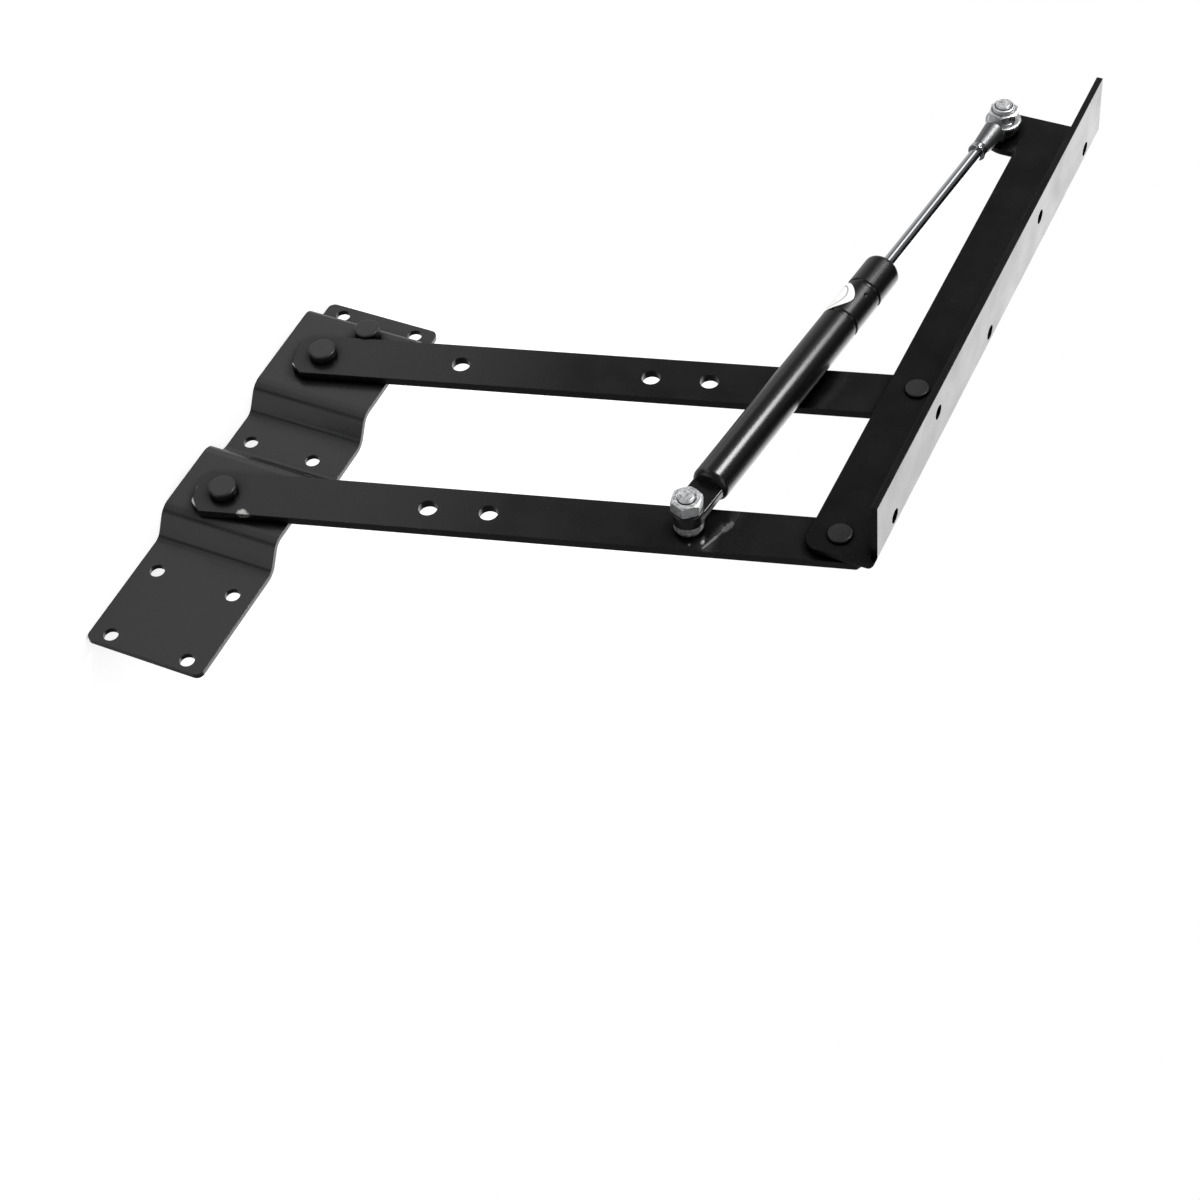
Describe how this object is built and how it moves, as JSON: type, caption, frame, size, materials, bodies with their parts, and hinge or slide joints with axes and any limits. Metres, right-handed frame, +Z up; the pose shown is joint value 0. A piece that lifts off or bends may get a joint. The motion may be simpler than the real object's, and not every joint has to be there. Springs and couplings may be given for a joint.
{
  "type": "lift top table mechanism",
  "caption": "Parallel-link lift mechanism for a table top: pressed bracket, two flat links, an angle rail and a gas spring, shown fully raised.",
  "frame": {"origin": "centre of the bracket's four-hole pattern, on the face that meets the panel", "axes": "+Y into the table's side panel, out of the mechanism's back; +Z up, the way the top rises; -X along the rail towards the gas spring's rod end"},
  "size_m": [0.4535, 0.0555, 0.3174],
  "materials": {
    "black_bracket_steel": "satin black powder coat",
    "black_link_steel": "satin black powder coat",
    "black_rail_steel": "satin black powder coat",
    "black_rivet": "semi-gloss black",
    "zinc_plate": "bright zinc plate",
    "cast_zinc": "as-cast grey",
    "hard_chrome": "polished hard chrome",
    "piston_alloy": "machined",
    "piston_seal": "moulded",
    "tube_enamel": "gloss black enamel",
    "guide_plastic": "moulded",
    "white_paper": "plain coated paper"
  },
  "bodies": {
    "base": {"base_bracket": "black_bracket_steel", "lower_base_rivet": "black_rivet", "upper_base_rivet": "black_rivet", "lower_base_washer": "zinc_plate", "upper_base_washer": "zinc_plate", "stop_pin": "black_rivet"},
    "lower_arm": {"lower_link": "black_link_steel", "lower_stud_tail": "zinc_plate"},
    "upper_arm": {"upper_link": "black_link_steel"},
    "rail": {"top_rail": "black_rail_steel", "lower_rail_rivet": "black_rivet", "upper_rail_rivet": "black_rivet", "lower_rail_washer": "zinc_plate", "upper_rail_washer": "zinc_plate", "upper_stud": "zinc_plate", "upper_stud_spacer": "zinc_plate", "upper_stud_nut": "zinc_plate"},
    "strut_rod": {"rod_end_eye": "cast_zinc", "rod_collar": "hard_chrome", "spring_rod": "hard_chrome", "spring_piston": "piston_alloy", "piston_ring": "piston_seal"},
    "strut_tube": {"spring_tube": "tube_enamel", "rod_guide": "guide_plastic", "rod_seal": "piston_seal", "tube_eye": "tube_enamel", "tube_sticker": "white_paper", "lower_stud": "zinc_plate", "lower_stud_spacer": "zinc_plate", "lower_stud_nut": "zinc_plate"}
  },
  "joints": [
    {"name": "fold", "type": "hinge", "parent": "base", "child": "lower_arm", "pos_m": [-0.061, -0.0175, -0.005], "axis": [0, 1, 0], "range_deg": [0, 87]},
    {"name": "upper_arm_pivot", "type": "hinge", "parent": "base", "child": "upper_arm", "pos_m": [-0.155, -0.0175, -0.005], "axis": [0, 1, 0], "range_deg": [0, 87]},
    {"name": "rail_pivot", "type": "hinge", "parent": "lower_arm", "child": "rail", "pos_m": [-0.13399, -0.0175, 0.26739], "axis": [0, 1, 0], "range_deg": [-87, 0]},
    {"name": "strut_pivot", "type": "hinge", "parent": "rail", "child": "strut_rod", "pos_m": [-0.41169, -0.03, 0.24309], "axis": [0, 1, 0], "range_deg": [-8.78, 0]},
    {"name": "strut_stroke", "type": "slide", "parent": "strut_rod", "child": "strut_tube", "axis": [-0.9907, 0, 0.1357], "range_m": [0, 0.0839]}
  ],
  "couplings": [
    {"joint": "upper_arm_pivot", "follows": "fold", "ratio": 1},
    {"joint": "rail_pivot", "follows": "fold", "ratio": -1},
    {"joint": "strut_pivot", "follows": "fold", "ratio": -0.10072},
    {"joint": "strut_stroke", "follows": "fold", "m_per_rad": 0.05518}
  ]
}
